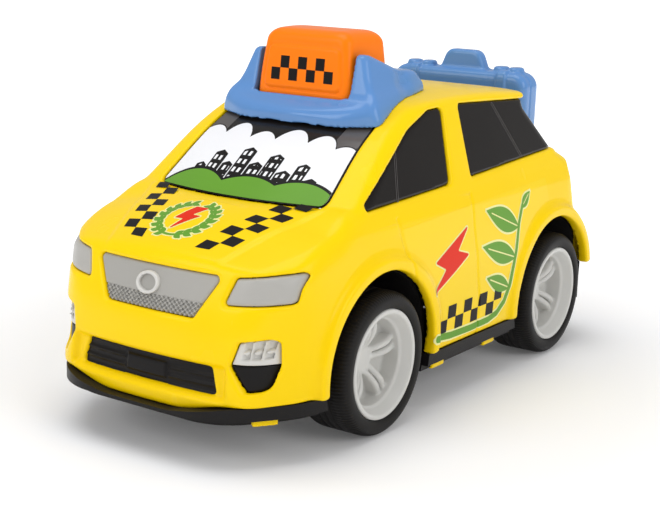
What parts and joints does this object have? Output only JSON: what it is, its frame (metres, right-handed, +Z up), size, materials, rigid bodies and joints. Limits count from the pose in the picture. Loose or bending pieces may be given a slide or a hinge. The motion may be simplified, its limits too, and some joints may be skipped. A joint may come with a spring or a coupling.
{
  "type": "toy car",
  "caption": "Chunky moulded-plastic friction taxi with free-rolling wheels, a geared flywheel drive, a press-down roof sign and a luggage case on the tailgate.",
  "frame": {"origin": "on the floor under the centre of the overall box", "axes": "+X to the car's left side, -Y towards the nose, +Y towards the tail, +Z up"},
  "size_m": [0.113, 0.25, 0.1394],
  "materials": {
    "yellow_plastic": "glossy moulded",
    "blue_plastic": "glossy moulded",
    "orange_plastic": "glossy moulded",
    "black_plastic": "satin moulded",
    "window_black": "glossy moulded",
    "screen_white": "glossy, printed",
    "lamp_grey": "milky",
    "lamp_white": "milky",
    "rim_grey": "satin moulded",
    "tyre_rubber": "soft matte",
    "steel": "bright",
    "gear_plastic": "natural",
    "gearbox_plastic": "moulded",
    "board_green": "lacquered",
    "switch_black": "moulded",
    "lamp_clear": "clear",
    "cell_jacket": "printed foil",
    "lead_cover": "sleeve"
  },
  "bodies": {
    "car": {"battery_box": "gearbox_plastic", "battery_contacts": "steel", "battery_door": "black_plastic", "battery_door_screw": "steel", "battery_lead": "lead_cover", "body_screws": "steel", "body_shell": "yellow_plastic", "bumper_vent_left": "window_black", "bumper_vent_right": "window_black", "cells": "cell_jacket", "chassis": "black_plastic", "circuit_board": "board_green", "fog_lamp_left": "lamp_white", "fog_lamp_right": "lamp_white", "gearbox_left_half": "gearbox_plastic", "gearbox_right_half": "gearbox_plastic", "gearbox_screws": "steel", "grille": "lamp_grey", "headlight_left": "lamp_grey", "headlight_right": "lamp_grey", "idler_shaft": "steel", "lower_grille": "window_black", "luggage_case": "blue_plastic", "push_switch": "switch_black", "rear_window": "window_black", "roof_sign_base": "blue_plastic", "side_window_front_left": "window_black", "side_window_front_right": "window_black", "side_window_rear_left": "window_black", "side_window_rear_right": "window_black", "sign_lamps": "lamp_clear", "sign_spring": "steel", "speaker": "switch_black", "speaker_lead": "lead_cover", "windscreen": "screen_white"},
    "front_wheels": {"front_axle": "steel", "rim_front_left": "rim_grey", "rim_front_right": "rim_grey", "tyre_front_left": "tyre_rubber", "tyre_front_right": "tyre_rubber"},
    "rear_wheels": {"rear_axle": "steel", "axle_gear": "gear_plastic", "rim_rear_left": "rim_grey", "rim_rear_right": "rim_grey", "tyre_rear_left": "tyre_rubber", "tyre_rear_right": "tyre_rubber"},
    "idler": {"idler_gear": "gear_plastic"},
    "flywheel_set": {"flywheel": "steel", "flywheel_pinion": "gear_plastic", "flywheel_shaft": "steel"},
    "sign_button": {"roof_sign": "orange_plastic"}
  },
  "joints": [
    {"name": "rear_wheels_spin", "type": "hinge", "parent": "car", "child": "rear_wheels", "pos_m": [0, 0.079, 0.0262], "axis": [1, 0, 0], "continuous": true},
    {"name": "front_wheels_spin", "type": "hinge", "parent": "car", "child": "front_wheels", "pos_m": [0, -0.056, 0.0262], "axis": [1, 0, 0], "continuous": true},
    {"name": "idler_spin", "type": "hinge", "parent": "car", "child": "idler", "pos_m": [0, 0.06355, 0.03034], "axis": [1, 0, 0], "continuous": true},
    {"name": "flywheel_spin", "type": "hinge", "parent": "car", "child": "flywheel_set", "pos_m": [0, 0.04809, 0.03448], "axis": [1, 0, 0], "continuous": true},
    {"name": "sign_press", "type": "slide", "parent": "car", "child": "sign_button", "axis": [0, 0, -1], "range_m": [0, 0.0025], "stiffness_N_per_m": 400, "springref_m": -0.002}
  ],
  "couplings": [
    {"joint": "idler_spin", "follows": "rear_wheels_spin", "ratio": -3},
    {"joint": "flywheel_spin", "follows": "rear_wheels_spin", "ratio": 9}
  ]
}
